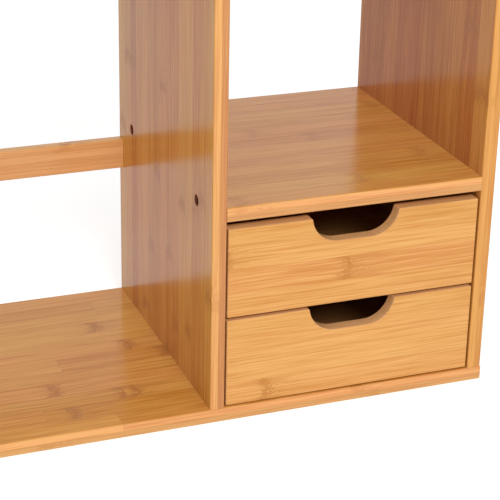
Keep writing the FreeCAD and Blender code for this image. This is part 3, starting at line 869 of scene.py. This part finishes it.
def apply_rule(piece, tree, **values):
    """Run a tree with the values whose names match its inputs, and keep the plain mesh."""
    named = {key.replace("_", " ").title(): value for key, value in values.items()}
    rule = piece.modifiers.new("rule", "NODES")
    rule.node_group = tree
    for item in tree.interface.items_tree:
        if item.in_out == "INPUT" and item.name in named:
            rule[item.identifier] = named[item.name]
    plain_mesh(piece)


def moved(tree, geometry, place, turn=(0, 0, 0)):
    return shape(tree, "Transform", {"Geometry": geometry, "Translation": place, "Rotation": turn})


def raised(tree, geometry, height, turn=(0, 0, 0)):
    return moved(tree, geometry, join(tree, 0.0, 0.0, height), turn)


def merged(tree, geometry):
    """Points closer together than the weld become one."""
    return shape(tree, "MergeByDistance", {"Geometry": geometry, "Distance": WELD})


print("geometry helpers ready")

# %% [markdown]
# ## Drawer fronts
# A front is a board with a finger notch at the top: a slot with round ends whose middle lies
# just above the board's edge. Its shape follows a rule with six sizes, so a node tree makes it:
# a filleted rectangle is swept through the thickness and taken out of a slab. A Bevel modifier
# then eases every edge, the notch's included, and that is what catches the light round the notch.

# %% Drawer front tree
NOTCH_FLAT = 29 * MM
NOTCH_CORNER = 23 * MM
NOTCH_DEPTH = 21 * MM
NOTCH_STEPS = 10
EASED_ANGLE = math.radians(40)


def make_front_tree():
    names = ("Width", "Thickness", "Height", "Notch Flat", "Notch Corner", "Notch Depth")
    tree, given = rule_tree("notched_front", names, [("Corner", "Vector")])
    size = join(tree, given["Width"], given["Thickness"], given["Height"])
    slab = shape(tree, "MeshCube", {"Size": size})
    around = times(tree, given["Notch Corner"], 2.0)
    outline = shape(tree, "CurvePrimitiveQuadrilateral", {
        "Width": plus(tree, given["Notch Flat"], around), "Height": around})
    slot = shape(tree, "FilletCurve", mode="POLY", inputs={
        "Curve": outline, "Count": NOTCH_STEPS, "Radius": given["Notch Corner"],
        "Limit Radius": True})
    reach = given["Thickness"]
    path = shape(tree, "CurvePrimitiveLine", {
        "Start": join(tree, 0.0, 0.0, times(tree, reach, -1.0)),
        "End": join(tree, 0.0, 0.0, reach)})
    prism = shape(tree, "CurveToMesh", {"Curve": path, "Profile Curve": slot, "Fill Caps": True})
    half_height = times(tree, given["Height"], 0.5)
    rise = minus(tree, plus(tree, half_height, given["Notch Corner"]), given["Notch Depth"])
    cutter = raised(tree, merged(tree, prism), rise, (math.radians(90), 0, 0))
    notched = shape(tree, "MeshBoolean", {"Mesh 1": slab, "Mesh 2": cutter},
                    operation="DIFFERENCE", solver="EXACT")
    half = vector_calc(tree, "MULTIPLY", size, (0.5, 0.5, 0.5))
    centre = vector_calc(tree, "ADD", given["Corner"], half)
    end_tree(tree, moved(tree, notched, centre), given["Material"])
    return tree


front_tree = make_front_tree()
print("front tree has", len(front_tree.nodes), "nodes")

# %% Drawer fronts
FRONT_SEEDS = {"upper_drawer": 240.0, "lower_drawer": 211.0}
# The fronts' pale edge tone, on the notch walls and other side faces, is painted sheen.
FRONT_FINISH = dict(Strip_Width=0.0205, Strip_Length=UNJOINTED, Tone_Spread=0.22,
                    Knuckle_Spacing=0.45, Edge_Tone=(0.85, 0.56, 0.36, 1))


def make_front(drawer):
    node = drawer + "_front"
    low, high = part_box(node)
    size = high - low
    front = object_from(bmesh.new(), node + "_wood")
    wood = bamboo("bamboo_" + node, node, UPRIGHT_X, FRONT_SEEDS[drawer], sanded_and_sheen="sides",
                  **FRONT_FINISH)
    apply_rule(front, front_tree, width=size.x, thickness=size.y, height=size.z,
               notch_flat=NOTCH_FLAT, notch_corner=NOTCH_CORNER, notch_depth=NOTCH_DEPTH,
               corner=tuple(low), material=wood)
    ease = front.modifiers.new("ease", "BEVEL")
    ease.width = EASE
    ease.segments = EASE_STEPS
    ease.limit_method = "ANGLE"
    ease.angle_limit = EASED_ANGLE
    plain_mesh(front)
    carve(front, panel_groove(drawer + "_bottom", (GROOVE_SLACK, GROOVE_SLACK, 0)))
    bore(front, [drawer + "_dowels"])
    stand_in(front, node)
    return front


for drawer in DRAWERS:
    front = make_front(drawer)
    print(front.name, len(front.data.polygons), "faces")

# %% [markdown]
# ## Drawer boxes
# Each drawer box is two long sides, a back between them and a thin bottom let into grooves all
# round. The grooves of the two sides run out at both of their ends.

# %% Drawer boxes
RUN_OUT = 10 * MM
# The drawer boxes get a darker bamboo than the rest: painted shade, so the inside of a drawer reads
# dark through the notch.
SHADED_BOX_FINISH = dict(Tone_Spread=0.4, Strip_Width=0.0235, Strip_Length=UNJOINTED, Ply=0.005,
                  Pale=(0.60, 0.32, 0.116, 1), Deep=(0.45, 0.20, 0.059, 1))


def make_box_part(drawer, suffix, lay, seed, groove=None, groups=(), ease=SMALL_EASE):
    node = drawer + suffix
    finish = bamboo("bamboo_" + node, node, lay, seed, MATT, **SHADED_BOX_FINISH)
    part = eased_board(node, "XYZ", finish, ease)
    if groove:
        carve(part, panel_groove(drawer + "_bottom", groove))
    if groups:
        bore(part, groups)
    stand_in(part, node)


def make_box(drawer, seed):
    fixings_here = [drawer + "_screws", drawer + "_dowels"]
    for step, suffix in enumerate(("_left_side", "_right_side")):
        make_box_part(drawer, suffix, UPRIGHT_Y, seed + step, (GROOVE_SLACK, RUN_OUT, 0),
                      fixings_here)
    make_box_part(drawer, "_back", UPRIGHT_X, seed + 2, (GROOVE_SLACK, GROOVE_SLACK, 0),
                  [drawer + "_screws"])
    make_box_part(drawer, "_bottom", FLAT_X, seed + 3, ease=THIN_EASE)


for seed, drawer in ((61.0, "upper_drawer"), (71.0, "lower_drawer")):
    make_box(drawer, seed)
print("drawer boxes made:", DRAWERS)

# %% [markdown]
# ## Zinc plated steel
# The bolts and screws are dull, slightly blotchy zinc: mid grey, with cloudy roughness and a few
# darker flecks where the plating is thin. It is a metal, so its colour is in its reflections.

# %% Steel material
def make_steel_group():
    group, given = group_with("dull_zinc", [("Place", "Vector", None),
                                            ("Blotch Size", "Float", 3 * MM)])
    turns = over(group, 1.0, given["Blotch Size"])
    cloud = add_node(group, "ShaderNodeTexNoise", {"Vector": given["Place"], "Scale": turns,
                                                   "Detail": 4.0}).outputs["Fac"]
    flecks = add_node(group, "ShaderNodeTexNoise",
                      {"Vector": given["Place"], "Scale": times(group, turns, 6.0),
                       "Detail": 1.0}).outputs["Fac"]
    fleck = fade(group, flecks, 0.62, 0.7)
    wide = fade(group, cloud, 0.3, 0.7)
    metal = blend_colour(group, wide, (0.46, 0.45, 0.43, 1), (0.60, 0.60, 0.59, 1))
    metal = blend_colour(group, times(group, fleck, 0.5), metal, (0.20, 0.18, 0.16, 1))
    end_group(group, metal, times_plus(group, wide, 0.2, 0.28), minus(group, cloud, fleck))
    return group


steel, shader, _ = material_from(make_steel_group(), "zinc_plated_steel")
shader.inputs["Metallic"].default_value = 1.0
print("made", steel.name)

# %% [markdown]
# ## Bolts and screws
# One screw is turned, threaded and given a hexagon socket, then copied to every seat of a node.
# The copies are made by Instance on Points: each seat is a point that carries the way its head
# faces. The thread is a thin triangle swept up a spiral, cheap enough to repeat.

# %% Screw tree
POINT_LENGTH = 3 * MM
THREAD_DEPTH = 0.35 * MM
HEAD_RIM = 0.4 * MM
SOCKET_PART = 2 / 3
THREADED_PART = 0.75
ROUND_SIDES = 28
THREAD_STEPS = 16
SEAT = "facing"


def add_cylinder(tree, radius, low, high, sides=ROUND_SIDES):
    """A closed cylinder standing between two heights."""
    depth = minus(tree, high, low)
    middle_height = times(tree, plus(tree, low, high), 0.5)
    mesh = shape(tree, "MeshCylinder", {"Vertices": sides, "Radius": radius, "Depth": depth})
    return raised(tree, mesh, middle_height)


def add_cone(tree, top, bottom, height):
    return shape(tree, "MeshCone", {"Vertices": ROUND_SIDES, "Radius Top": top,
                                    "Radius Bottom": bottom, "Depth": height})


def copy_to_seats(tree, single, points):
    """One copy on each point, with its Z turned to the point's own facing vector."""
    facing = shape(tree, "InputNamedAttribute", {"Name": SEAT}, data_type="FLOAT_VECTOR")
    turn = add_node(tree, "FunctionNodeAlignRotationToVector", {"Vector": facing}, axis="Z")
    return shape(tree, "InstanceOnPoints",
                 {"Points": points, "Instance": single, "Rotation": turn.outputs[0]})


def make_screw_tree():
    names = ("Head Diameter", "Head Height", "Shank Diameter", "Length", "Socket", "Pitch")
    tree, given = rule_tree("socket_screw", names)
    head = times(tree, given["Head Diameter"], 0.5)
    rim = minus(tree, given["Head Height"], HEAD_RIM)
    core = times_plus(tree, given["Shank Diameter"], 0.5, -THREAD_DEPTH)
    tip = times_plus(tree, given["Length"], -1.0, POINT_LENGTH)
    barrel = add_cylinder(tree, head, 0.0, rim)
    crown = add_cone(tree, minus(tree, head, HEAD_RIM), head, HEAD_RIM)
    crown = raised(tree, crown, rim)
    shank = add_cylinder(tree, core, tip, HEAD_RIM)
    point = raised(tree, add_cone(tree, 0.0, core, POINT_LENGTH), tip, (math.radians(180), 0, 0))
    body = add_node(tree, "GeometryNodeMeshBoolean", {"Mesh 2": barrel}, operation="UNION",
                    solver="EXACT")
    for part in (crown, shank, point):
        tree.links.new(part, body.inputs["Mesh 2"])
    socket_low = times(tree, given["Head Height"], 1 - SOCKET_PART)
    above = plus(tree, given["Head Height"], HEAD_RIM)
    hexagon = add_cylinder(tree, times(tree, given["Socket"], 0.5), socket_low, above, 6)
    turned_part = merged(tree, shape(tree, "MeshBoolean",
                                     {"Mesh 1": body.outputs[0], "Mesh 2": hexagon},
                                     operation="DIFFERENCE", solver="EXACT"))
    thread_length = times(tree, tip, -THREADED_PART)
    turns = over(tree, thread_length, given["Pitch"])
    spiral = shape(tree, "CurveSpiral", {
        "Resolution": THREAD_STEPS, "Rotations": turns, "Start Radius": core,
        "End Radius": core, "Height": thread_length})
    ridge = shape(tree, "CurvePrimitiveCircle", {"Resolution": 3, "Radius": THREAD_DEPTH})
    thread = shape(tree, "CurveToMesh", {"Curve": spiral, "Profile Curve": ridge,
                                         "Fill Caps": True})
    thread = raised(tree, thread, tip)
    whole = add_node(tree, "GeometryNodeJoinGeometry", {"Geometry": turned_part})
    tree.links.new(thread, whole.inputs[0])
    end_tree(tree, copy_to_seats(tree, whole.outputs[0], given["Geometry"]), given["Material"])
    return tree


screw_tree = make_screw_tree()
print("screw tree has", len(screw_tree.nodes), "nodes")

# %% Bolts and screws
def seats(node, spots):
    """A piece with one vertex for each seat, carrying the facing vector as an attribute."""
    mesh = bpy.data.meshes.new(node)
    mesh.from_pydata([place for place, facing in spots], [], [])
    attribute = mesh.attributes.new(SEAT, "FLOAT_VECTOR", "POINT")
    for item, (place, facing) in zip(attribute.data, spots):
        item.vector = facing
    return add_object(node + "_made", mesh)


def fill_seats(node, tree, material):
    """Make all the fixings of a node, one on each of its seats."""
    kind, spots = fixings[node]
    piece = seats(node, spots)
    apply_rule(piece, tree, material=material, **kind)
    stand_in(piece, node)
    print(node, len(spots), "seats filled,", len(piece.data.polygons), "faces")


for node, (kind, _) in fixings.items():
    if "socket" in kind:
        fill_seats(node, screw_tree, steel)

# %% [markdown]
# ## Dowels
# The boards are located by turned beech dowels with straight flutes that let the glue escape. A
# star drawn with many small points is the fluted section. It is swept along a line of four
# points, whose outer two are scaled down to chamfer the ends.

# %% Dowel tree
FLUTES = 18
FLUTE_DEPTH = 0.2 * MM
END_CHAMFER = 1.0 * MM
END_SCALE = 0.82


def make_dowel_tree():
    tree, given = rule_tree("fluted_dowel", ("Diameter", "Length"))
    radius = times(tree, given["Diameter"], 0.5)
    section = shape(tree, "CurveStar", {
        "Points": FLUTES, "Outer Radius": radius,
        "Inner Radius": minus(tree, radius, FLUTE_DEPTH)})
    shoulder = minus(tree, given["Length"], END_CHAMFER)
    heights = (0.0, END_CHAMFER, shoulder, given["Length"])
    line = shape(tree, "MeshLine", {"Count": len(heights)})
    index = shape(tree, "InputIndex")
    pick = add_node(tree, "GeometryNodeIndexSwitch", data_type="FLOAT")
    for _ in range(len(heights) - 2):
        pick.index_switch_items.new()
    tree.links.new(index, pick.inputs["Index"])
    for step, height in enumerate(heights, start=1):
        feed(tree, pick.inputs[step], height)
    spread = shape(tree, "SetPosition", {
        "Geometry": line, "Position": join(tree, 0.0, 0.0, pick.outputs[0])})
    path = shape(tree, "MeshToCurve", {"Mesh": spread})
    inner = calc(tree, "COMPARE", index, (len(heights) - 1) / 2, 1.0)
    scale = fade(tree, inner, 0.0, 1.0, END_SCALE, 1.0)
    rod = shape(tree, "CurveToMesh", {
        "Curve": path, "Profile Curve": section, "Scale": scale, "Fill Caps": True})
    end_tree(tree, copy_to_seats(tree, rod, given["Geometry"]), given["Material"])
    return tree


dowel_tree = make_dowel_tree()
print("dowel tree has", len(dowel_tree.nodes), "nodes")

# %% [markdown]
# ## Beech for the dowels
# Beech is pale and pinkish with short dark flecks along the grain. The flecks are noise drawn out
# along the dowel, so the pattern is turned to lie along whichever way a group of dowels points.

# %% Beech material
def make_beech_group():
    group, given = group_with("turned_beech", [("Place", "Vector", None)])
    grain = fade(group, stretched_noise(group, given["Place"], (60, 600, 600), 3.0), 0.3, 0.7)
    fleck = fade(group, stretched_noise(group, given["Place"], (400, 2200, 2200), 1.0), 0.6, 0.7)
    wood = blend_colour(group, grain, (0.70, 0.49, 0.30, 1), (0.58, 0.37, 0.20, 1))
    wood = blend_colour(group, times(group, fleck, 0.6), wood, (0.36, 0.19, 0.09, 1))
    end_group(group, wood, times_plus(group, grain, 0.1, 0.6), plus(group, grain, fleck))
    return group


beech_group = make_beech_group()
beech = {axis: material_from(beech_group, "beech_along_" + axis, lay[0])[0]
         for axis, lay in zip("xyz", (FLAT_X, UPRIGHT_Y, UPRIGHT_Z))}
print("beech laid", sorted(beech))

# %% Dowels
for node, (kind, spots) in fixings.items():
    if "diameter" in kind:
        facing = spots[0][1]
        axis = max("xyz", key=lambda letter: abs(facing["xyz".index(letter)]))
        fill_seats(node, dowel_tree, beech[axis])
